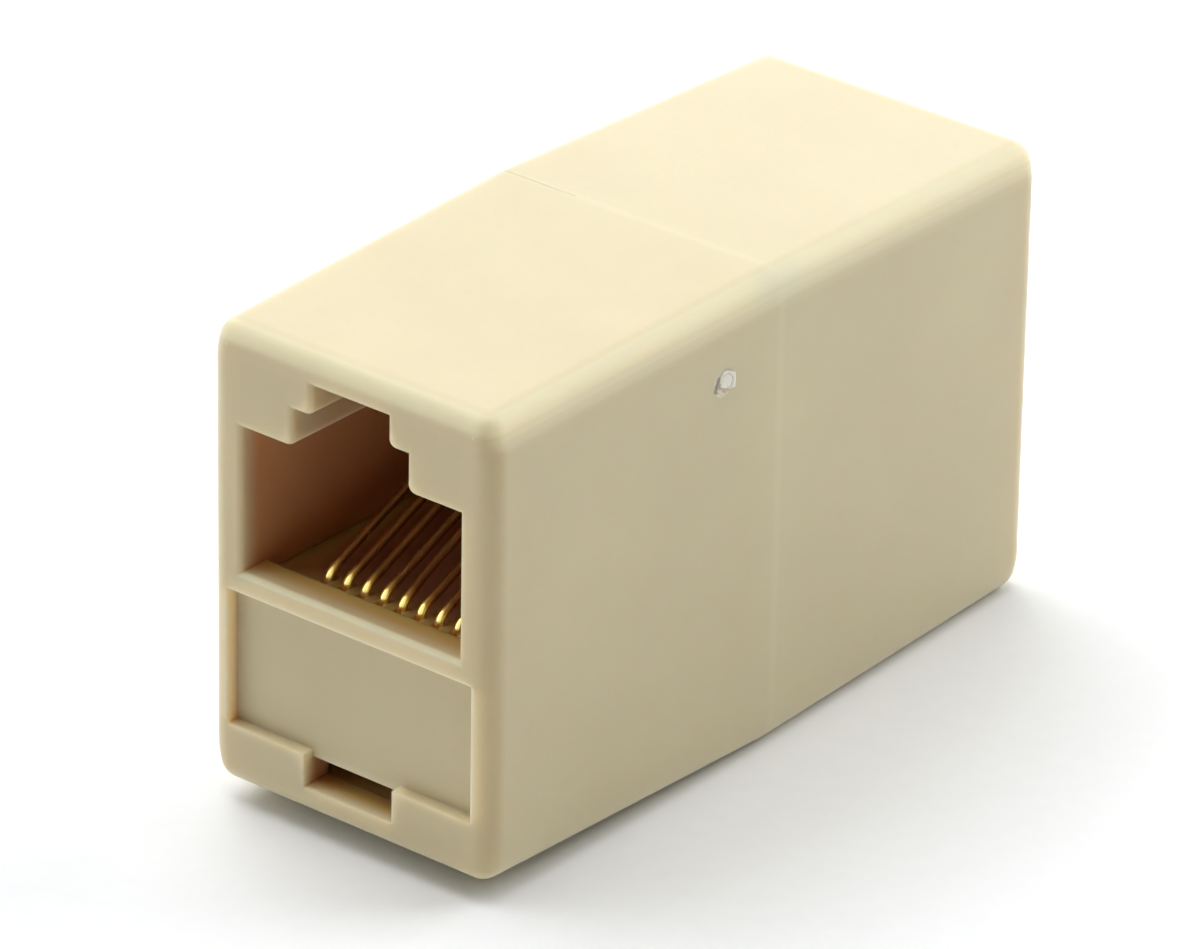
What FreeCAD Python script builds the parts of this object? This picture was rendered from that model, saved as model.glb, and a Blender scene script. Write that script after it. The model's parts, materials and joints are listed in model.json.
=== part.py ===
import FreeCAD, Part
import math
import os

# Inline coupler for two eight-way modular plugs. X is the width, Y the length, Z up.
# The seam between the halves is the plane y = 0, its bottom edge is z = 0, and the front jack faces -Y.
# All sizes in millimetres; a depth is measured inwards from the end face.

# Housing halves
half_length = 18.37       # end face to seam
seam_width = 16.05        # outside, at the seam
seam_height = 22.47
side_taper = 0.30         # how far each side closes in from the seam to the end face
flat_taper = 0.45         # the same for the top and the bottom
side_lean = 0.35          # the sides lean in by this much towards the top and the bottom
lean_height = 1.40        # over this height
lean_radius = 3.00        # soft bend where the lean starts
edge_radius = 1.00        # rounding of the outside edges
seam_bevel = 0.05         # small bevel on either side of the seam
front_wall = 1.60         # thickness of the end wall
side_wall = 1.42          # at the seam, beside the lower chamber
top_wall = 1.87           # at the seam
bottom_wall = 1.70
lip_length = 1.20         # collar of the front half inside the rear half
lip_inset = 0.80          # outer land left round the collar
lip_clearance = 0.05

# Jack opening in the end face
jack_width = 11.90
jack_height = 6.75        # plug floor to the latch shoulders
shoulder_gap = 6.20       # between the lower shoulders
shoulder_height = 1.75
key_gap = 4.10            # between the upper shoulders
key_height = 1.40
shoulder_depth = 5.10     # the plug's latch catches behind this depth
shoulder_round = 0.40     # rounded lower corners of the shoulders
mouth_round = 0.30        # rounding round the mouth
floor_drop = 0.55         # the space behind the sill is this much lower

# Recessed panel and slot below the jack
sill_height = 0.95
rim_width = 1.02          # beside the panel
rim_height = 2.88         # below the panel
panel_recess = 0.62
slot_width = 4.86
slot_sill = 1.33          # left of the rim below the slot
slot_height = 1.22        # below the panel's lower edge

# Mark left by the broken-off runner on one side of the front half
gate_seam_offset = 3.73   # in front of the seam
gate_drop = 3.82          # below the top edge of the seam
gate_width = 1.30
gate_depth = 0.14

# Contact carrier, pushed in from the seam side
carrier_thickness = 2.25
carrier_clearance = 0.05
carrier_length = 12.30    # front wall to the back of the plug stop
stop_thickness = 1.00     # upright wall the plug's nose meets
rail_width = 0.90         # ledges in the chamber that the carrier rests on
rail_height = 0.75
nib_depth = 8.60          # locking nib under the carrier, behind the end wall
nib_length = 1.40
nib_height = 0.40

# Contacts
contact_count = 8
contact_pitch = 1.016
wire_diameter = 0.40
wire_flat_count = 8       # flats that stand for the round section
wire_clearance = 0.05     # on each side of a wire in its groove
rise_depth = 2.80         # where the wire stands up behind the sill
slot_ahead = 0.48         # slot in front of the standing wire
slot_past_bend = 0.05     # slot behind the wire's low bend
run_below_deck = 1.22     # groove ceiling below the carrier's top
low_bend = 0.40
knee_bend = 0.80
knee_drop = 0.27          # the knee starts this much below the carrier's top
wire_slope = 23.3         # degrees
free_end_past_stop = 0.45 # free end inside the comb of the plug stop
comb_below = 3.30         # comb slot below and above the free wire
comb_above = 0.70
tail_length = 0.55        # behind the carrier

# Jumper leads between the two sets of contacts
lead_diameter = 0.60
lead_flat_count = 6
lead_bend = 0.80
lead_stub = 1.18          # straight part at either end

overshoot = 1.0           # how far a cut starts outside what it cuts

# Heights and depths that follow from the sizes above
V = FreeCAD.Vector
end_y = -half_length
end_width = seam_width - 2 * side_taper
chamber_width = seam_width - 2 * side_wall
roof_z = seam_height - top_wall
step_z = roof_z - key_height
shoulder_z = step_z - shoulder_height
sill_top = shoulder_z - jack_height
ledge_z = sill_top - floor_drop
deck_z = ledge_z - carrier_clearance
seat_z = deck_z - carrier_thickness
panel_top = sill_top - sill_height
panel_bottom = flat_taper + rim_height
slot_floor = flat_taper + slot_sill
end_edge = min(edge_radius, (end_width - jack_width) / 3.5)
mouth_edge = min(mouth_round, 0.9 * (top_wall - flat_taper - end_edge))
carrier_y = end_y + front_wall
back_y = carrier_y + carrier_length
stop_y = back_y - stop_thickness
run_z = deck_z - run_below_deck - wire_diameter / 2
tail_y = back_y + tail_length
groove = wire_diameter + 2 * wire_clearance
contact_x = [(n - (contact_count - 1) / 2) * contact_pitch for n in range(contact_count)]


def box(width, y0, y1, z0, z1, x=0.0):
    """Block centred on x."""
    return Part.makeBox(width, y1 - y0, z1 - z0, V(x - width / 2, y0, z0))


def edges_on(shape, y):
    """Edges that lie wholly in the plane at y."""
    return [e for e in shape.Edges if all(abs(v.Y - y) < 1e-6 for v in e.Vertexes)]


def lengthwise(shape):
    """Edges that run away from the seam, each with its point there."""
    across = edges_on(shape, 0)
    return [(e, v.Point) for e in shape.Edges if not any(e.isSame(a) for a in across)
            for v in e.Vertexes if abs(v.Y) < 1e-6]


def in_window(edge, half_width, z0, z1):
    return all(abs(v.X) <= half_width and z0 <= v.Z <= z1 for v in edge.Vertexes)


def tapered_block():
    """Outside of one half: widest at the seam, soft rounded edges, a small bevel at the seam."""
    seam_x, end_x = seam_width / 2, end_width / 2
    block = Part.makeWedge(-end_x, end_y, flat_taper, 0, -seam_x,
                           end_x, 0, seam_height - flat_taper, seam_height, seam_x)
    block = block.makeChamfer(lean_height, side_lean, [edge for edge, _ in lengthwise(block)])
    bends = [edge for edge, at in lengthwise(block) if abs(at.x) > seam_x - side_lean / 2]
    block = block.makeFillet(lean_radius, bends)
    corners = [edge for edge, at in lengthwise(block) if min(at.z, seam_height - at.z) < 1e-6]
    if end_edge == edge_radius:
        block = block.makeFillet(edge_radius, corners + edges_on(block, end_y))
    else:
        block = block.makeFillet(edge_radius, corners)
        block = block.makeFillet(end_edge, edges_on(block, end_y))
    return block.makeChamfer(seam_bevel, edges_on(block, 0))


def mouth():
    """Plug opening between the shoulders, as deep as the shoulders."""
    j, s, k = jack_width / 2, shoulder_gap / 2, key_gap / 2
    right = [(j, sill_top), (j, shoulder_z), (s, shoulder_z), (s, step_z), (k, step_z), (k, roof_z)]
    outline = right + [(-x, z) for x, z in reversed(right)]
    y0 = end_y - overshoot
    wire = Part.makePolygon([V(x, y0, z) for x, z in outline + outline[:1]])
    solid = Part.Face(wire).extrude(V(0, overshoot + shoulder_depth, 0))
    corners = [(s, shoulder_z), (-s, shoulder_z), (k, step_z), (-k, step_z)]
    rounded = [e for e in solid.Edges for corner in corners
               if all(math.dist((v.X, v.Z), corner) < 1e-6 for v in e.Vertexes)]
    return solid.makeFillet(shoulder_round, rounded)


def hollow(inner_end):
    """Space inside one half, open at the seam side."""
    behind_wall = end_y + front_wall
    behind_shoulders = end_y + shoulder_depth
    chamber = box(chamber_width, behind_wall, inner_end, bottom_wall, ledge_z)
    well = box(jack_width, behind_wall, inner_end, ledge_z, sill_top)
    cavity = box(jack_width, behind_shoulders, inner_end, sill_top, roof_z)
    return chamber.fuse([well, cavity])


def rails():
    """Ledges on the chamber's sides under the carrier, each with a gap for the locking nib."""
    x = (chamber_width - rail_width) / 2
    gap = carrier_y + nib_depth
    pieces = []
    for side in (-x, x):
        pieces.append(box(rail_width, carrier_y, gap, seat_z - rail_height, seat_z, side))
        pieces.append(box(rail_width, gap + nib_length, back_y, seat_z - rail_height, seat_z, side))
    return pieces


def gate_mark():
    """Shallow round dent, as a ball sunk into the side."""
    ball = (gate_width ** 2 / 4 + gate_depth ** 2) / (2 * gate_depth)
    side = seam_width / 2 - side_taper * gate_seam_offset / half_length
    return Part.makeSphere(ball, V(side - gate_depth + ball, -gate_seam_offset, seam_height - gate_drop))


def half_shell(collar):
    """One half facing -Y: with the collar for the front, with the rebate that takes it for the rear."""
    shell = tapered_block()
    clear = 0 if collar else lip_clearance
    reach = lip_length + clear
    lip_width = seam_width - 2 * lip_inset + 2 * clear
    lip_z0, lip_z1 = lip_inset - clear, seam_height - lip_inset + clear
    if collar:
        shell = shell.fuse(box(lip_width, -front_wall, reach, lip_z0, lip_z1))
    else:
        shell = shell.cut(box(lip_width, -reach, reach, lip_z0, lip_z1))
    panel = box(end_width - 2 * rim_width, end_y - overshoot, end_y + panel_recess, panel_bottom, panel_top)
    notch = box(slot_width, end_y - overshoot, end_y + panel_recess, slot_floor, panel_bottom)
    slot = box(slot_width, end_y - overshoot, end_y + front_wall, slot_floor, slot_floor + slot_height)
    shell = shell.cut([mouth(), hollow(reach + overshoot), panel, notch, slot])
    mouth_edges = [e for e in edges_on(shell, end_y)
                   if in_window(e, jack_width / 2 + 0.01, sill_top - 0.01, roof_z + 0.01)]
    shell = shell.makeFillet(mouth_edge, mouth_edges)
    shell = shell.fuse(rails())
    if collar:
        shell = shell.cut(gate_mark())
    return shell.removeSplitter()


def contact_points(x):
    """Route of one wire: tail, run under the deck, standing part, slope to the free end."""
    rise_y = end_y + rise_depth
    slope = math.radians(wire_slope)
    turn = math.pi / 2 - slope
    corner_z = deck_z - knee_drop + knee_bend * math.tan(turn / 2)
    free_y = stop_y + free_end_past_stop
    free_z = corner_z + (free_y - rise_y) * math.tan(slope)
    return [V(x, tail_y, run_z), V(x, rise_y, run_z), V(x, rise_y, corner_z), V(x, free_y, free_z)]


def carrier():
    """Moulded block under the contacts, with the plug stop and its comb at the back."""
    wide = chamber_width - 2 * carrier_clearance
    narrow = min(wide, jack_width - 2 * carrier_clearance)
    free = contact_points(0)[-1]
    rise_y = end_y + rise_depth
    slot_end = rise_y + low_bend + slot_past_bend
    body = box(wide, carrier_y, back_y, seat_z, deck_z)
    body = body.fuse(box(narrow, stop_y, back_y, deck_z, roof_z - carrier_clearance))
    nib_x = (wide - rail_width + carrier_clearance) / 2
    nib_y = carrier_y + nib_depth + carrier_clearance
    nib_end = nib_y + nib_length - 2 * carrier_clearance
    body = body.fuse([box(rail_width - carrier_clearance, nib_y, nib_end, seat_z - nib_height, seat_z, side)
                      for side in (-nib_x, nib_x)])
    cuts = []
    for x in contact_x:
        cuts.append(box(groove, rise_y, back_y, seat_z, run_z + wire_diameter / 2, x))
        cuts.append(box(groove, rise_y - slot_ahead, slot_end, seat_z, deck_z, x))
        cuts.append(box(groove, stop_y, back_y, free.z - comb_below, free.z + comb_above, x))
    return body.cut(cuts).removeSplitter()


def tube(points, bends, diameter, flats):
    """Wire along straight runs joined by tangent arcs; the first run is along Y."""
    parts, start = [], points[0]
    for before, corner, after, bend in zip(points, points[1:], points[2:], bends):
        into = (corner - before).normalize()
        out = (after - corner).normalize()
        turn = into.getAngle(out)
        cut = bend * math.tan(turn / 2)
        first, last = corner - into * cut, corner + out * cut
        inner = (out - into).normalize()
        middle = corner + inner * (bend / math.cos(turn / 2) - bend)
        parts.append(Part.makeLine(start, first))
        parts.append(Part.Arc(first, middle, last).toShape())
        start = last
    parts.append(Part.makeLine(start, points[-1]))
    step = 2 * math.pi / flats
    reach = diameter / 2 / math.cos(step / 2)
    ring = [points[0] + V(math.cos((n + 0.5) * step), 0, math.sin((n + 0.5) * step)) * reach
            for n in range(flats + 1)]
    return Part.Wire(parts).makePipeShell([Part.makePolygon(ring)], True, False)


def contact(x):
    return tube(contact_points(x), [low_bend, knee_bend], wire_diameter, wire_flat_count)


def lead(x):
    """Lead from a front contact to its partner, which sits on the other side behind the rear jack."""
    bend_y = tail_y + lead_stub
    route = [V(x, tail_y, run_z), V(x, bend_y, run_z), V(0, 0, run_z + x),
             V(-x, -bend_y, run_z), V(-x, -tail_y, run_z)]
    return tube(route, [lead_bend] * 3, lead_diameter, lead_flat_count)


def turned(shape):
    """The same piece at the other end of the coupler."""
    other = shape.copy()
    other.rotate(V(0, 0, 0), V(0, 0, 1), 180)
    return other


nodes = {"front_shell": half_shell(True), "rear_shell": turned(half_shell(False))}
nodes["front_carrier"] = carrier()
nodes["rear_carrier"] = turned(nodes["front_carrier"])
for number, x in enumerate(contact_x, 1):
    nodes["front_contact_%d" % number] = contact(x)
    nodes["rear_contact_%d" % number] = turned(contact(x))
    nodes["lead_%d" % number] = lead(x)

os.makedirs("parts", exist_ok=True)
for name, shape in nodes.items():
    shape.exportStep("parts/%s.step" % name)
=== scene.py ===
import json
import math

import bmesh
import bpy
from mathutils import Matrix, Vector

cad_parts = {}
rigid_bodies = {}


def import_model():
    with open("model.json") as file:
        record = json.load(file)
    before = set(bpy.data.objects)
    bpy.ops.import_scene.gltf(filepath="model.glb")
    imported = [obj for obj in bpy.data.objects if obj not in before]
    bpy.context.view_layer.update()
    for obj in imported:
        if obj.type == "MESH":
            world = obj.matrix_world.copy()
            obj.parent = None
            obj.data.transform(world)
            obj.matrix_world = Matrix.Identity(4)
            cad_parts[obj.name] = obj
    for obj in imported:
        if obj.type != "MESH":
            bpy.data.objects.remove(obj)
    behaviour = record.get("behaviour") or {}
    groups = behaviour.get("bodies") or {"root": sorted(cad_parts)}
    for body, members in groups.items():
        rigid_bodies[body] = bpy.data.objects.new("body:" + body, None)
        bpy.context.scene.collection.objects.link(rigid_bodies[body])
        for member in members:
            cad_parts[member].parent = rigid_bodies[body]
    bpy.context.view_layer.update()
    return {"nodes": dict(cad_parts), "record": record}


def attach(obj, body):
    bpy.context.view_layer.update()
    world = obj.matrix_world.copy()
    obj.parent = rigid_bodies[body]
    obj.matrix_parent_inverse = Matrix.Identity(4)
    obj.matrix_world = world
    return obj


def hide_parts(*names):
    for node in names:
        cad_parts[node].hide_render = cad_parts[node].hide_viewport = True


for old in list(bpy.data.objects):
    bpy.data.objects.remove(old)
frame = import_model()

MM = 0.001
NOISE_SPAN = (0.3, 0.7)                           # useful middle of a noise

# Camera, from the edges of the housing in the photograph
CAMERA_PLACE = (215.98, -267.67, 184.02)          # mm
CAMERA_TURN = (63.197, -0.881, 39.555)            # degrees
CAMERA_LENS = 270.0                               # mm
SENSOR_WIDTH = 36.0                               # mm
CLIP_START = 0.01                                 # m

# The coupler lies on the drafted underside of its rear half, so the floor is tilted to it
FLOOR_SLOPE = 0.45 / 18.37
FLOOR_SIZE = 3.0                                  # m
FLOOR_DROP = 0.01                                 # mm
FLOOR_TINTS = (0.945, 0.962, 0.980), (0.970, 0.985, 1.0)
FLOOR_ROUGHNESS = (0.7, 0.85)
FLOOR_GLOSS = 0.1
FIBRE_SCALE = 900

# Soft boxes: compass direction and height in degrees, distance and width in metres, radiance
SOFT_BOXES = {
    "top_light": (0, 88, 0.8, 0.45, 3.3),
    "back_left_light": (219, 29, 0.8, 0.60, 1.7),
    "high_left_light": (247, 52, 0.8, 0.60, 1.1),
    "left_light": (275, 55, 0.8, 0.60, 2.3),
    "front_left_light": (315, 30, 0.8, 0.60, 1.35),
    "back_right_light": (150, 36, 0.8, 0.60, 3.4),
}
SKY_STRENGTH = 0.01
WHITE = (1.0, 1.0, 1.0, 1.0)

# Plastics: dark and light tint; the housing's is followed by its painted glow where the plastic is thin, its
# painted highlight on the upper edges, the far top and the seam, and its painted highlight on the upper edge of
# the +X side
BEIGE = ((0.617, 0.526, 0.310), (0.645, 0.556, 0.330),
         (0.88, 0.70, 0.445), (0.755, 0.71, 0.485), (0.90, 0.82, 0.56))
# dark and light tint of the painted shade in the nick
NICK_SHADE = (0.17, 0.14, 0.09), (0.26, 0.22, 0.15)
WHITENED = (0.85, 0.79, 0.65), (0.94, 0.89, 0.76)
TORN = (0.64, 0.56, 0.40), (0.72, 0.64, 0.48)

# Surface of the plastics: depth of the grain and radius of softened edges in mm, polish
CLOUD_SCALE = 170
GRAIN_SCALE = 4200
GRAIN_STRENGTH = 0.25
HOUSING_GRAIN = 0.012
CARRIER_GRAIN = 0.006
FLASH_GRAIN = 0.008
SCRAP_GRAIN = 0.04
SOFT_EDGE = 0.16
SCRAP_EDGE = 0.02
PLASTIC_ROUGHNESS = (0.36, 0.50)
PLASTIC_IOR = 1.53
PLASTIC_GLOSS = 0.3
SHEEN = 0.4
SHEEN_ROUGHNESS = 0.5

# Light in the plastic: share of it, reach in mm by colour, and the openness between thick and thin places; thin
# places get a painted glow in their colour, for light that comes through them
SCATTER = 0.8
SCATTER_REACH = (1.0, 0.75, 0.5)
SCATTER_SCALE = 1.8
THIN_REACH = 0.9
THIN_OPENNESS = (0.8, 0.35)

# Distances from the seam over which the painted glow of thin places, softened edges and light in the plastic come
# in (mm)
SEAM_THIN = (1.3, 2.0)
SEAM_SOFT = (0.25, 0.7)
SEAM_SCATTER = (0.5, 1.6)

# Painted shade inside: darker, warmer tints of the plastic in the chamber, mouth, slot and on the shoulders;
# faces that look up turn from the floor's to the deck's over these depths (mm)
WALL_SHADE_BROWN = (0.61, 0.315, 0.145)
FLOOR_SHADE_BROWN = (0.63, 0.43, 0.140)
DECK_SHADE_BROWN = (0.42, 0.19, 0.095)
DECK_DEPTHS = (1.8, 4.2)
SHOULDER_SHADE_BROWN = (0.50, 0.33, 0.165)
FLOOR_TURN = (0.5, 0.9)                           # upward part of the normal

# Where these painted shade tints come in: half width, middle height and half height of a space, and its depths
# (mm)
CHAMBER = (8.0, 8.70, 8.73), (0.7, 1.6)
MOUTH = (6.2, 13.72, 3.73), (0.1, 1.3)
SLOT = (2.5, 2.37, 0.62), (0.2, 0.9)
SHOULDERS = (5.95, 19.03, 1.57), (-0.5, 3.0)

# Share of the painted highlight tint, for light from above, on the upper edges, on the top between two places
# along it (mm), and along the seam
EDGE_HIGHLIGHT = 0.9
EDGE_TURN = (0.02, 0.40)                          # upward part of the normal
TOP_HIGHLIGHT = (0.04, 0.22)
TOP_HIGHLIGHT_PLACES = (-2.0, 16.0)
TOP_TURN = (0.90, 0.995)                          # upward part of the normal
SEAM_HIGHLIGHT = 0.16
SEAM_HIGHLIGHT_WIDTHS = (0.10, 0.34)

# Share of the brighter painted highlight on the upper edge of the +X side, between these parts of the normal
SIDE_HIGHLIGHT = 0.8
SIDE_HIGHLIGHT_SIDEWAYS = (0.45, 0.95)
SIDE_HIGHLIGHT_UPWARD = (0.0, 0.40)

# Outside of the housing, as in the solids (mm)
HALF_WIDTH = 8.025
HALF_LENGTH = 18.37
HALF_HEIGHT = 11.235
SEAM_BEVEL = 0.05
RIM_TOLERANCE = 0.002
SIDE_SLOPE = 0.30 / 18.37

# Flash squeezed into the seam: it covers the joint except for the upper left corner (mm)
FLASH_HALF_WIDTH = 0.09
FLASH_INSET = 0.0008
FLASH_DEPTH = 0.08
FLASH_START = -3.2                                # x on the top
FLASH_END = 20.2                                  # z on the left side

# Broken-off runner on the +X side: dent, the outline of a dark sheet of painted shade in its nick, and outlines
# of what is left in it, as (y, z) in mm
GATE_PLACE = (-3.73, 18.65)
GATE_BALL = 1.579
GATE_DEPTH = 0.14
GATE_NICK = [(-4.10, 19.00), (-3.84, 18.96), (-3.76, 18.62), (-3.80, 18.34), (-4.02, 18.24),
             (-4.26, 18.27), (-4.40, 18.47), (-4.30, 18.63), (-4.14, 18.70), (-4.10, 18.84)]
GATE_FLAKE = [(-3.70, 19.17), (-3.40, 19.11), (-2.99, 18.91), (-2.93, 18.54), (-2.97, 18.20),
              (-3.30, 18.21), (-3.60, 18.29), (-3.97, 18.51), (-3.85, 18.76), (-3.76, 18.98)]
GATE_CHIP = [(-4.17, 18.56), (-3.94, 18.42), (-3.63, 18.23), (-3.46, 18.08), (-3.59, 17.99),
             (-3.89, 18.13), (-4.13, 18.36)]

# Scraps in the dent and the sheet of painted shade: height of the crown (mm), rings as (size, share of the
# height), unevenness and its wave
NICK_LIFT = 0.006
SCRAP_LIFT = 0.03
SCRAP_RINGS = (1.0, -0.02), (0.96, 0.6), (0.80, 1.0), (0.40, 0.85)
SCRAP_UNEVEN = 0.25
WAVE_BY_CORNER = 2.4                              # radians
WAVE_BY_SIZE = 9.0                                # radians

# Contact wires, as in the solids (mm)
CONTACTS = 8
CONTACT_PITCH = 1.016
WIRE_RADIUS = 0.20
WIRE_ROUTE = [(-3.92, 8.68), (-15.57, 8.68), (-15.57, 10.357), (-5.02, 14.90)]
WIRE_BENDS = [0.40, 0.80]
WIRE_BOWS = [0.0, 0.03, -0.02, 0.02, -0.16, 0.03, -0.02, 0.02]    # sideways, between knee and comb
BOW_SKEW = 0.6                                    # below 1 the most lies nearer the knee
WIRE_STEPS = 10
WIRE_SIDES = 20
END_CHAMFER = 0.35                                # share of the radius

# Plating of the wires and painted shade: gold at the knee, from these distances from the seam on (mm), and a
# darker bronze before it, partly bare bronze and partly painted shade on the shafts
KNEE_PLATING_AND_SHADE = (14.7, 15.3)
GOLD = (1.0, 0.80, 0.26), (1.0, 0.88, 0.34)
SHADED_BRONZE = (0.48, 0.30, 0.15), (0.58, 0.37, 0.19)
PLATE_ROUGHNESS = (0.23, 0.28)
PATCH_SCALE = 500
POLISH_SCALE = 700

# Leads between the two sets of contacts (mm)
LEAD_RADIUS = 0.30
LEAD_BEND = 0.80
LEAD_START = (-3.92, 8.68)
LEAD_STUB_END = -2.74
LEAD_STEPS = 8
LEAD_SIDES = 16
LEAD_COLOURS = ["blue", "orange", "black", "red", "green", "yellow", "brown", "grey"]

# Insulation of the leads: streaks, their shade and height (mm), polish
STREAK_SCALE = 1500
STREAK_SHADE = 0.82
STREAK_STRENGTH = 0.2
STREAK_HEIGHT = 0.01
LEAD_ROUGHNESS = (0.24, 0.36)


def add(tree, kind, links=None, inputs=None, **settings):
    """New shader node with its settings, fixed inputs and linked inputs."""
    made = tree.nodes.new(kind)
    for name, value in settings.items():
        setattr(made, name, value)
    for name, value in (inputs or {}).items():
        made.inputs[name].default_value = value
    for name, socket in (links or {}).items():
        tree.links.new(socket, made.inputs[name])
    return made


def feed(tree, socket, value):
    """Links an input to an output, or sets it to a number or a colour."""
    if isinstance(value, bpy.types.NodeSocket):
        tree.links.new(value, socket)
    else:
        socket.default_value = (*value, 1.0) if isinstance(value, tuple) else value


def new_material(name):
    """Empty material: its node tree, its shader and the object coordinates."""
    material = bpy.data.materials.new(name)
    material.use_nodes = True
    tree = material.node_tree
    place = add(tree, "ShaderNodeTexCoord").outputs["Object"]
    return material, tree, tree.nodes["Principled BSDF"], place


def noise(tree, place, scale, detail=2.0, roughness=0.5):
    made = add(tree, "ShaderNodeTexNoise", {"Vector": place},
               {"Scale": scale, "Detail": detail, "Roughness": roughness})
    return made.outputs["Fac"]


def two_tone(tree, factor, dark, light):
    """Colour from dark to light over the useful middle of a noise."""
    made = add(tree, "ShaderNodeValToRGB", {"Fac": factor})
    for element, position, colour in zip(made.color_ramp.elements, NOISE_SPAN, (dark, light)):
        element.position = position
        element.color = (*colour, 1.0)
    return made.outputs["Color"]


def ranged(tree, value, limits, low, high):
    """Value that goes from low to high between two limits."""
    made = add(tree, "ShaderNodeMapRange", {"Value": value}, {"From Min": limits[0], "From Max": limits[1]})
    feed(tree, made.inputs["To Min"], low)
    feed(tree, made.inputs["To Max"], high)
    return made.outputs["Result"]


def eased(tree, value, limits, unit=1.0):
    """0 up to the first limit, 1 from the last one on, with a soft step between."""
    made = add(tree, "ShaderNodeMapRange", {"Value": value},
               {"From Min": limits[0] * unit, "From Max": limits[1] * unit}, interpolation_type="SMOOTHSTEP")
    return made.outputs["Result"]


def blended(tree, factor, first, second):
    """Colour that turns from the first to the second as the factor goes from 0 to 1."""
    made = add(tree, "ShaderNodeMix", data_type="RGBA", blend_type="MIX")
    for index, value in ((0, factor), (6, first), (7, second)):
        feed(tree, made.inputs[index], value)
    return made.outputs[2]


def math_node(tree, operation, first, second=0.0):
    made = add(tree, "ShaderNodeMath", operation=operation)
    feed(tree, made.inputs[0], first)
    feed(tree, made.inputs[1], second)
    return made.outputs[0]


def off_middle(tree, value, middle):
    return math_node(tree, "ABSOLUTE", math_node(tree, "SUBTRACT", value, middle * MM))


def skin_depth(tree, axes):
    """Distance of a place from the nearest outer face of the housing."""
    sides = ("X", 0.0, HALF_WIDTH), ("Y", 0.0, HALF_LENGTH), ("Z", HALF_HEIGHT, HALF_HEIGHT)
    depths = [math_node(tree, "SUBTRACT", half * MM, off_middle(tree, axes[axis], middle))
              for axis, middle, half in sides]
    return math_node(tree, "MINIMUM", math_node(tree, "MINIMUM", depths[0], depths[1]), depths[2])


def inside_of(tree, axes, depth, space):
    """How far a place lies inside a space: 0 in front of its first depth, 1 behind its last one."""
    (half_width, middle, half_height), depths = space
    beside = math_node(tree, "LESS_THAN", off_middle(tree, axes["X"], 0.0), half_width * MM)
    between = math_node(tree, "LESS_THAN", off_middle(tree, axes["Z"], middle), half_height * MM)
    within = math_node(tree, "MULTIPLY", beside, between)
    return math_node(tree, "MULTIPLY", within, eased(tree, depth, depths, MM))


def painted_glow_mask(tree, from_seam):
    """Share of the painted glow, for light through thin plastic: 0 where it is thick or at the seam, up to 1 in
    narrow ribs and along edges.
    """
    inward = add(tree, "ShaderNodeAmbientOcclusion", inputs={"Distance": THIN_REACH * MM},
                 samples=8, inside=True, only_local=True)
    thin = eased(tree, inward.outputs["AO"], THIN_OPENNESS)
    return math_node(tree, "MULTIPLY", thin, eased(tree, from_seam, SEAM_THIN, MM))


def painted_highlight_mask(tree, axes, upward):
    """Share of the painted highlight, for light from above: the rounded upper edges, and the top towards the far
    end.
    """
    top = ranged(tree, axes["Y"], [y * MM for y in TOP_HIGHLIGHT_PLACES], *TOP_HIGHLIGHT)
    level = ranged(tree, upward, TOP_TURN, EDGE_HIGHLIGHT, top)
    return math_node(tree, "MULTIPLY", eased(tree, upward, EDGE_TURN), level)


def painted_side_highlight_mask(tree, facing):
    """Share of the painted highlight on the upper edge of the +X side, where it is palest."""
    sideways = eased(tree, facing["X"], SIDE_HIGHLIGHT_SIDEWAYS)
    above = eased(tree, facing["Z"], SIDE_HIGHLIGHT_UPWARD)
    return math_node(tree, "MULTIPLY", math_node(tree, "MULTIPLY", sideways, above), SIDE_HIGHLIGHT)


def seam_highlight_mask(tree, from_seam):
    """Faint painted highlight along the seam, for light on the ridge of flash there."""
    return ranged(tree, from_seam, [w * MM for w in SEAM_HIGHLIGHT_WIDTHS], SEAM_HIGHLIGHT, 0.0)


def outer_tint(tree, tints, cloud, axes, facing, from_seam):
    """Cloudy tint with a painted glow where the plastic is thin, and painted highlights on the upper edges, the
    far top, along the seam and on the upper edge of the +X side.
    """
    dark, light, painted_glow, painted_highlight, painted_side_highlight = tints
    # painted glow: lighter tint where the plastic is thin and along edges, for light that comes through it
    tint = blended(tree, painted_glow_mask(tree, from_seam), two_tone(tree, cloud, dark, light), painted_glow)
    # painted highlight: paler tint on the upper edges, the far top and along the seam, for light from above
    highlight_share = math_node(tree, "ADD", painted_highlight_mask(tree, axes, facing["Z"]), seam_highlight_mask(tree, from_seam))
    # painted highlight on the upper edge of the +X side
    return blended(tree, painted_side_highlight_mask(tree, facing), blended(tree, highlight_share, tint, painted_highlight), painted_side_highlight)


def painted_inner_shade(tree, outer, axes, upward):
    """Painted shade: darker, warmer tint inside, for the dim light there that has come through the walls; also
    how far inside a place is.
    """
    depth = skin_depth(tree, axes)
    chamber, mouth, slot, shoulders = [inside_of(tree, axes, depth, space)
                                       for space in (CHAMBER, MOUTH, SLOT, SHOULDERS)]
    inner = math_node(tree, "MAXIMUM", chamber, math_node(tree, "MAXIMUM", mouth, slot))
    deck = blended(tree, eased(tree, depth, DECK_DEPTHS, MM), FLOOR_SHADE_BROWN, DECK_SHADE_BROWN)
    inside = blended(tree, eased(tree, upward, FLOOR_TURN), WALL_SHADE_BROWN, deck)
    return blended(tree, shoulders, blended(tree, inner, outer, inside), SHOULDER_SHADE_BROWN), inner


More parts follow.
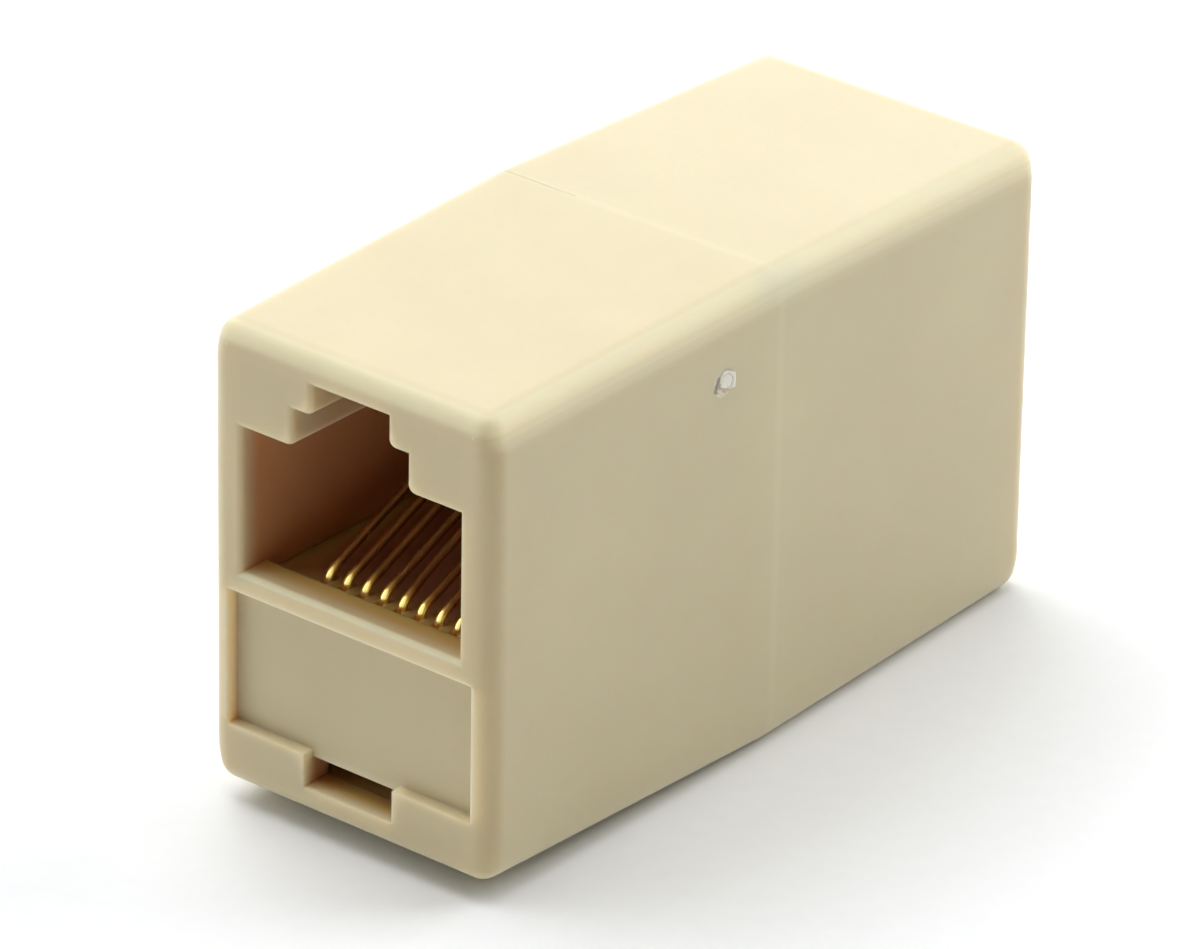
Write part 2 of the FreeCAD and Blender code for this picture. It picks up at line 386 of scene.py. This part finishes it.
def moulded_plastic(name, tints, grain_depth, edge=SOFT_EDGE, scatter=SCATTER):
    """Satin moulded plastic with a fine eroded grain, softened edges and light inside it, away from the seam; its
    colour carries painted glow, painted highlights and painted shade inside.
    """
    material, tree, shader, place = new_material(name)
    axes = add(tree, "ShaderNodeSeparateXYZ", {"Vector": place}).outputs
    normal = add(tree, "ShaderNodeNewGeometry").outputs["Normal"]
    facing = add(tree, "ShaderNodeSeparateXYZ", {"Vector": normal}).outputs
    from_seam = off_middle(tree, axes["Y"], 0.0)
    cloud = noise(tree, place, CLOUD_SCALE, 3.0)
    grain = noise(tree, place, GRAIN_SCALE, 2.0, 0.6)
    colour, inner = painted_inner_shade(tree, outer_tint(tree, tints, cloud, axes, facing, from_seam), axes, facing["Z"])
    bump = add(tree, "ShaderNodeBump", {"Height": grain},
               {"Strength": GRAIN_STRENGTH, "Distance": grain_depth * MM})
    tree.links.new(colour, shader.inputs["Base Color"])
    tree.links.new(ranged(tree, grain, NOISE_SPAN, *PLASTIC_ROUGHNESS), shader.inputs["Roughness"])
    tree.links.new(bump.outputs["Normal"], shader.inputs["Normal"])
    tree.links.new(ranged(tree, inner, NOISE_SPAN, SHEEN, 0.0), shader.inputs["Sheen Weight"])
    shader.inputs["Sheen Roughness"].default_value = SHEEN_ROUGHNESS
    shader.inputs["IOR"].default_value = PLASTIC_IOR
    shader.inputs["Specular IOR Level"].default_value = PLASTIC_GLOSS
    if edge:
        rounding = math_node(tree, "MULTIPLY", eased(tree, from_seam, SEAM_SOFT, MM), edge * MM)
        soft = add(tree, "ShaderNodeBevel", {"Radius": rounding}, samples=6)
        tree.links.new(soft.outputs["Normal"], bump.inputs["Normal"])
    if scatter:
        weight = math_node(tree, "MULTIPLY", eased(tree, from_seam, SEAM_SCATTER, MM), scatter)
        tree.links.new(weight, shader.inputs["Subsurface Weight"])
        shader.inputs["Subsurface Radius"].default_value = SCATTER_REACH
        shader.inputs["Subsurface Scale"].default_value = SCATTER_SCALE * MM
    return material


def scrap_plastic(name, dark, light, edge):
    """Plastic of a torn scrap or of the painted shade in the nick, which has no painted glow or painted highlight
    tints of its own.
    """
    return moulded_plastic(name, (dark, light, light, light, light), SCRAP_GRAIN, edge, 0.0)


def plated_and_shaded_wire(name):
    """Drawn wire, gold plated at the knee and a darker bronze along the slope, which is partly bare bronze and
    partly painted shade, with small changes of colour and polish.
    """
    material, tree, shader, place = new_material(name)
    along = off_middle(tree, add(tree, "ShaderNodeSeparateXYZ", {"Vector": place}).outputs["Y"], 0.0)
    patches = noise(tree, place, PATCH_SCALE, 2.0)
    polish = noise(tree, place, POLISH_SCALE, 1.0)
    colour = blended(tree, eased(tree, along, KNEE_PLATING_AND_SHADE, MM),
                     two_tone(tree, patches, *SHADED_BRONZE), two_tone(tree, patches, *GOLD))
    tree.links.new(colour, shader.inputs["Base Color"])
    tree.links.new(ranged(tree, polish, NOISE_SPAN, *PLATE_ROUGHNESS), shader.inputs["Roughness"])
    shader.inputs["Metallic"].default_value = 1.0
    return material


def insulation(name, colour):
    """Extruded insulation: glossy, with faint streaks and a slightly uneven surface."""
    material, tree, shader, place = new_material(name)
    streaks = noise(tree, place, STREAK_SCALE, 2.0)
    dark = [STREAK_SHADE * c for c in colour]
    bump = add(tree, "ShaderNodeBump", {"Height": streaks},
               {"Strength": STREAK_STRENGTH, "Distance": STREAK_HEIGHT * MM})
    tree.links.new(two_tone(tree, streaks, dark, colour), shader.inputs["Base Color"])
    tree.links.new(ranged(tree, streaks, NOISE_SPAN, *LEAD_ROUGHNESS), shader.inputs["Roughness"])
    tree.links.new(bump.outputs["Normal"], shader.inputs["Normal"])
    return material


def rounded_path(points, bends, steps):
    """Points along straight runs joined by tangent arcs."""
    path = [points[0]]
    for before, corner, after, bend in zip(points, points[1:], points[2:], bends):
        into, out = (corner - before).normalized(), (after - corner).normalized()
        turn = into.angle(out)
        start = corner - into * bend * math.tan(turn / 2)
        side = (out - into * into.dot(out)).normalized()
        for n in range(steps + 1):
            a = turn * n / steps
            path.append(start + into * bend * math.sin(a) + side * bend * (1 - math.cos(a)))
    return path + [points[-1]]


def ringed_object(name, rings, smooth=False):
    """Object with a closed skin over rings of places."""
    mesh = bmesh.new()
    rings = [[mesh.verts.new(place) for place in ring] for ring in rings]
    for low, high in zip(rings, rings[1:]):
        for k in range(len(low)):
            after = (k + 1) % len(low)
            mesh.faces.new((low[k], low[after], high[after], high[k])).smooth = smooth
    mesh.faces.new(rings[0])
    mesh.faces.new(rings[-1])
    bmesh.ops.recalc_face_normals(mesh, faces=mesh.faces)
    data = bpy.data.meshes.new(name)
    mesh.to_mesh(data)
    mesh.free()
    piece = bpy.data.objects.new(name, data)
    bpy.context.scene.collection.objects.link(piece)
    return piece


def round_wire(name, path, radius, sides):
    """Tube along a path, with its end edges broken."""
    chamfer = END_CHAMFER * radius
    first, last = (path[1] - path[0]).normalized(), (path[-1] - path[-2]).normalized()
    stations = [(path[0], radius - chamfer), (path[0] + first * chamfer, radius)]
    stations += [(p, radius) for p in path[1:-1]]
    stations += [(path[-1] - last * chamfer, radius), (path[-1], radius - chamfer)]
    across = first.orthogonal().normalized()
    angles = [2 * math.pi * k / sides for k in range(sides)]
    rings = []
    for n, (point, size) in enumerate(stations):
        ahead = stations[min(n + 1, len(stations) - 1)][0] - stations[max(n - 1, 0)][0]
        ahead.normalize()
        across = (across - ahead * across.dot(ahead)).normalized()
        other = ahead.cross(across)
        rings.append([point + (across * math.cos(a) + other * math.sin(a)) * size for a in angles])
    return ringed_object(name, rings, smooth=True)


def finished(piece, material, slot, *nodes):
    """Gives a new piece its material, and lets it stand for its nodes; the slot is not used."""
    piece.data.materials.append(material)
    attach(piece, "root")
    if nodes:
        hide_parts(*nodes)


def bowed(path, bow, steps):
    """Splits the last straight run of a path and bends it sideways, with the most near its start."""
    start, end = path[-2], path[-1]
    sideways = Vector((bow, 0, 0))
    return path[:-2] + [start.lerp(end, n / steps) + sideways * math.sin(math.pi * (n / steps) ** BOW_SKEW)
                        for n in range(steps + 1)]


def contact_x(number):
    return (number - (CONTACTS + 1) / 2) * CONTACT_PITCH


def contact_wires(material):
    half_turn = Matrix.Rotation(math.pi, 3, "Z")
    for number, bow in enumerate(WIRE_BOWS, 1):
        corners = [Vector((contact_x(number), y, z)) * MM for y, z in WIRE_ROUTE]
        path = rounded_path(corners, [b * MM for b in WIRE_BENDS], WIRE_STEPS)
        path = bowed(path, bow * MM, WIRE_STEPS)
        for end, way in (("front", path), ("rear", [half_turn @ p for p in path])):
            wire = round_wire(f"{end}_wire_{number}", way, WIRE_RADIUS * MM, WIRE_SIDES)
            finished(wire, material, "contact", f"{end}_contact_{number}")


def jumper_leads():
    """Leads that cross over in the middle, each at its own height."""
    slots = {m["slot"]: m["base_color"] for m in frame["record"]["materials"]}
    y, z = LEAD_START
    for number, colour in enumerate(LEAD_COLOURS, 1):
        x = contact_x(number)
        half = [(x, y, z), (x, LEAD_STUB_END, z)]
        route = half + [(0, 0, z + x)] + [(-a, -b, c) for a, b, c in reversed(half)]
        path = rounded_path([Vector(p) * MM for p in route], [LEAD_BEND * MM] * 3, LEAD_STEPS)
        slot = f"lead_{colour}"
        lead = round_wire(f"jumper_{number}", path, LEAD_RADIUS * MM, LEAD_SIDES)
        finished(lead, insulation(slot, slots[slot]), slot, f"lead_{number}")


def seam_outline():
    """Places round the seam with their outward directions, clockwise from the top (mm)."""
    shell = frame["nodes"]["rear_shell"]
    rim = [(shell.matrix_world @ v.co) / MM for v in shell.data.vertices]
    rim = {(round(p.x, 3), round(p.z, 3)) for p in rim if abs(p.y - SEAM_BEVEL) < RIM_TOLERANCE}
    rim = [(x, z) for x, z in rim if x > FLASH_START or z < FLASH_END]
    rim.sort(key=lambda p: -math.atan2(p[1] - HALF_HEIGHT, p[0]))
    split = next(n for n, (x, z) in enumerate(rim) if x > FLASH_START and z > HALF_HEIGHT)
    ends = (FLASH_START, max(z for x, z in rim)), (-max(x for x, z in rim), FLASH_END)
    path = [Vector((x, 0, z)) for x, z in [ends[0]] + rim[split:] + rim[:split] + [ends[1]]]
    places = []
    for n, place in enumerate(path):
        along = path[min(n + 1, len(path) - 1)] - path[max(n - 1, 0)]
        places.append((place, Vector((-along.z, 0, along.x)).normalized()))
    return places


def seam_flash(material):
    """Thin flush band of flash over the joint between the halves."""
    section = [(-FLASH_HALF_WIDTH, FLASH_DEPTH), (-FLASH_HALF_WIDTH, FLASH_INSET), (0, FLASH_INSET),
               (FLASH_HALF_WIDTH, FLASH_INSET), (FLASH_HALF_WIDTH, FLASH_DEPTH)]
    rings = [[(place - outward * inset + Vector((0, y, 0))) * MM for y, inset in section]
             for place, outward in seam_outline()]
    finished(ringed_object("seam_flash", rings), material, "housing")


def side_surface(y, z):
    """X of the side wall, with the dent of the broken-off runner (mm)."""
    wall = HALF_WIDTH - SIDE_SLOPE * abs(y)
    away = math.dist((y, z), GATE_PLACE)
    dent = HALF_WIDTH - SIDE_SLOPE * abs(GATE_PLACE[0]) - GATE_DEPTH + GATE_BALL
    return min(wall, dent - math.sqrt(GATE_BALL ** 2 - away ** 2))


def scrap(name, outline, lift, material):
    """Torn scrap of plastic in the dent: an outline that rises to an uneven crown."""
    y0 = sum(y for y, z in outline) / len(outline)
    z0 = sum(z for y, z in outline) / len(outline)
    rings = []
    for size, rise in SCRAP_RINGS:
        ring = []
        for n, (y, z) in enumerate(outline):
            y, z = y0 + (y - y0) * size, z0 + (z - z0) * size
            uneven = 1 + SCRAP_UNEVEN * math.sin(WAVE_BY_CORNER * n + WAVE_BY_SIZE * size)
            ring.append(Vector((side_surface(y, z) + lift * rise * uneven, y, z)) * MM)
        rings.append(ring)
    finished(ringed_object(name, rings), material, "housing")


def dress(material, *names):
    for name in names:
        frame["nodes"][name].data.materials.clear()
        frame["nodes"][name].data.materials.append(material)


def floor():
    material, tree, shader, place = new_material("pale_floor")
    fibre = noise(tree, place, FIBRE_SCALE, 3.0)
    tree.links.new(two_tone(tree, fibre, *FLOOR_TINTS), shader.inputs["Base Color"])
    tree.links.new(ranged(tree, fibre, NOISE_SPAN, *FLOOR_ROUGHNESS), shader.inputs["Roughness"])
    shader.inputs["Specular IOR Level"].default_value = FLOOR_GLOSS
    bpy.ops.mesh.primitive_plane_add(size=FLOOR_SIZE, location=(0, 0, -FLOOR_DROP * MM),
                                     rotation=(math.atan(FLOOR_SLOPE), 0, 0))
    sheet = bpy.context.object
    sheet.name = "floor"
    sheet.data.materials.append(material)


def soft_box(name, compass, height, distance, width, radiance):
    """Square light that faces the coupler; compass 0 is towards -Y, 90 towards +X."""
    a, e = math.radians(compass), math.radians(height)
    away = Vector((math.sin(a) * math.cos(e), -math.cos(a) * math.cos(e), math.sin(e)))
    data = bpy.data.lights.new(name, "AREA")
    data.size = width
    data.energy = radiance * math.pi * width ** 2
    light = bpy.data.objects.new(name, data)
    light.location = away * distance
    light.rotation_euler = away.to_track_quat("Z", "Y").to_euler()
    bpy.context.scene.collection.objects.link(light)


def sky():
    """Dim even light all round, which the camera and reflections see as plain white."""
    world = bpy.data.worlds.new("studio")
    world.use_nodes = True
    tree = world.node_tree
    tree.nodes.clear()
    ray = add(tree, "ShaderNodeLightPath").outputs
    mirrored = math_node(tree, "MAXIMUM", ray["Is Glossy Ray"], ray["Is Transmission Ray"])
    seen = math_node(tree, "MAXIMUM", ray["Is Camera Ray"], mirrored)
    dim = add(tree, "ShaderNodeBackground", inputs={"Color": WHITE, "Strength": SKY_STRENGTH})
    white = add(tree, "ShaderNodeBackground", inputs={"Color": WHITE, "Strength": 1.0})
    both = add(tree, "ShaderNodeMixShader", {0: seen, 1: dim.outputs[0], 2: white.outputs[0]})
    add(tree, "ShaderNodeOutputWorld", {"Surface": both.outputs[0]})
    bpy.context.scene.world = world


def camera():
    data = bpy.data.cameras.new("camera")
    data.sensor_fit, data.sensor_width, data.lens = "HORIZONTAL", SENSOR_WIDTH, CAMERA_LENS
    data.clip_start = CLIP_START
    made = bpy.data.objects.new("camera", data)
    made.location = Vector(CAMERA_PLACE) * MM
    made.rotation_euler = [math.radians(a) for a in CAMERA_TURN]
    bpy.context.scene.collection.objects.link(made)
    bpy.context.scene.camera = made


camera()
floor()
sky()
for name, settings in SOFT_BOXES.items():
    soft_box(name, *settings)

dress(moulded_plastic("housing_plastic", BEIGE, HOUSING_GRAIN), "front_shell", "rear_shell")
dress(moulded_plastic("carrier_plastic", BEIGE, CARRIER_GRAIN), "front_carrier", "rear_carrier")
seam_flash(moulded_plastic("flash_plastic", BEIGE, FLASH_GRAIN, edge=0.0, scatter=0.0))
# dark sheet in the nick: painted shade
scrap("gate_nick_shade", GATE_NICK, NICK_LIFT, scrap_plastic("nick_shade_plastic", *NICK_SHADE, 0.0))
scrap("gate_flake", GATE_FLAKE, SCRAP_LIFT, scrap_plastic("whitened_plastic", *WHITENED, SCRAP_EDGE))
scrap("gate_chip", GATE_CHIP, SCRAP_LIFT, scrap_plastic("torn_plastic", *TORN, SCRAP_EDGE))
contact_wires(plated_and_shaded_wire("contact_gold"))
jumper_leads()

bpy.context.scene.view_settings.view_transform = "Standard"
bpy.context.view_layer.update()
